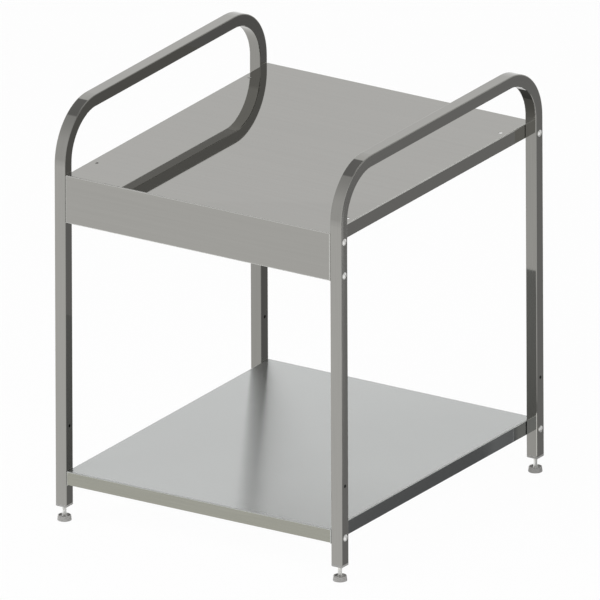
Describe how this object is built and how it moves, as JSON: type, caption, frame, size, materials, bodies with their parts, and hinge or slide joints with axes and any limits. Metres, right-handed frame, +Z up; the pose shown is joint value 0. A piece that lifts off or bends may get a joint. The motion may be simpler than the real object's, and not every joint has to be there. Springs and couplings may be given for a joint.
{
  "type": "stove table",
  "caption": "Stainless steel stove table: bent square-tube side frames with raised hand rails, folded top with a deep front apron, lower shelf, screw levelling feet.",
  "frame": {"origin": "on the floor, at the middle of the table", "axes": "+Z up; +X to the right seen from the front; +Y from the front, the apron side, to the rear"},
  "size_m": [0.671, 0.7434, 0.861],
  "materials": {
    "frame_tube": "satin polished stainless tube",
    "top_sheet": "bright rolled stainless sheet",
    "shelf_sheet": "brushed stainless sheet",
    "bright_steel": "bright zinc-plated steel",
    "bush_steel": "turned brass",
    "grey_plastic": "moulded grey nylon"
  },
  "bodies": {
    "table": {"left_side_frame": "frame_tube", "right_side_frame": "frame_tube", "table_top": "top_sheet", "top_stiffener": "shelf_sheet", "lower_shelf": "shelf_sheet", "shelf_stiffener": "shelf_sheet", "front_left_bolts": "bright_steel", "front_left_leg_plug": "grey_plastic", "front_left_plug_bush": "bush_steel", "front_right_bolts": "bright_steel", "front_right_leg_plug": "grey_plastic", "front_right_plug_bush": "bush_steel", "rear_left_bolts": "bright_steel", "rear_left_leg_plug": "grey_plastic", "rear_left_plug_bush": "bush_steel", "rear_right_bolts": "bright_steel", "rear_right_leg_plug": "grey_plastic", "rear_right_plug_bush": "bush_steel"},
    "front_left_pad": {"front_left_foot_pad": "grey_plastic"},
    "front_left_stud": {"front_left_foot_stud": "bright_steel"},
    "front_right_pad": {"front_right_foot_pad": "grey_plastic"},
    "front_right_stud": {"front_right_foot_stud": "bright_steel"},
    "rear_left_pad": {"rear_left_foot_pad": "grey_plastic"},
    "rear_left_stud": {"rear_left_foot_stud": "bright_steel"},
    "rear_right_pad": {"rear_right_foot_pad": "grey_plastic"},
    "rear_right_stud": {"rear_right_foot_stud": "bright_steel"}
  },
  "joints": [
    {"name": "front_left_foot_height", "type": "slide", "parent": "table", "child": "front_left_pad", "axis": [0, 0, 1], "range_m": [-0.0175, 0.015]},
    {"name": "front_left_foot_screw", "type": "hinge", "parent": "front_left_pad", "child": "front_left_stud", "pos_m": [-0.32, -0.3575, 0.0305], "axis": [0, 0, 1], "range_deg": [-5040, 4320]},
    {"name": "front_right_foot_height", "type": "slide", "parent": "table", "child": "front_right_pad", "axis": [0, 0, 1], "range_m": [-0.0175, 0.015]},
    {"name": "front_right_foot_screw", "type": "hinge", "parent": "front_right_pad", "child": "front_right_stud", "pos_m": [0.32, -0.3575, 0.0305], "axis": [0, 0, 1], "range_deg": [-5040, 4320]},
    {"name": "rear_left_foot_height", "type": "slide", "parent": "table", "child": "rear_left_pad", "axis": [0, 0, 1], "range_m": [-0.0175, 0.015]},
    {"name": "rear_left_foot_screw", "type": "hinge", "parent": "rear_left_pad", "child": "rear_left_stud", "pos_m": [-0.32, 0.3575, 0.0305], "axis": [0, 0, 1], "range_deg": [-5040, 4320]},
    {"name": "rear_right_foot_height", "type": "slide", "parent": "table", "child": "rear_right_pad", "axis": [0, 0, 1], "range_m": [-0.0175, 0.015]},
    {"name": "rear_right_foot_screw", "type": "hinge", "parent": "rear_right_pad", "child": "rear_right_stud", "pos_m": [0.32, 0.3575, 0.0305], "axis": [0, 0, 1], "range_deg": [-5040, 4320]}
  ],
  "couplings": [
    {"joint": "front_left_foot_height", "follows": "front_left_foot_screw", "m_per_rad": 0.00019894},
    {"joint": "front_right_foot_height", "follows": "front_right_foot_screw", "m_per_rad": 0.00019894},
    {"joint": "rear_left_foot_height", "follows": "rear_left_foot_screw", "m_per_rad": 0.00019894},
    {"joint": "rear_right_foot_height", "follows": "rear_right_foot_screw", "m_per_rad": 0.00019894}
  ]
}
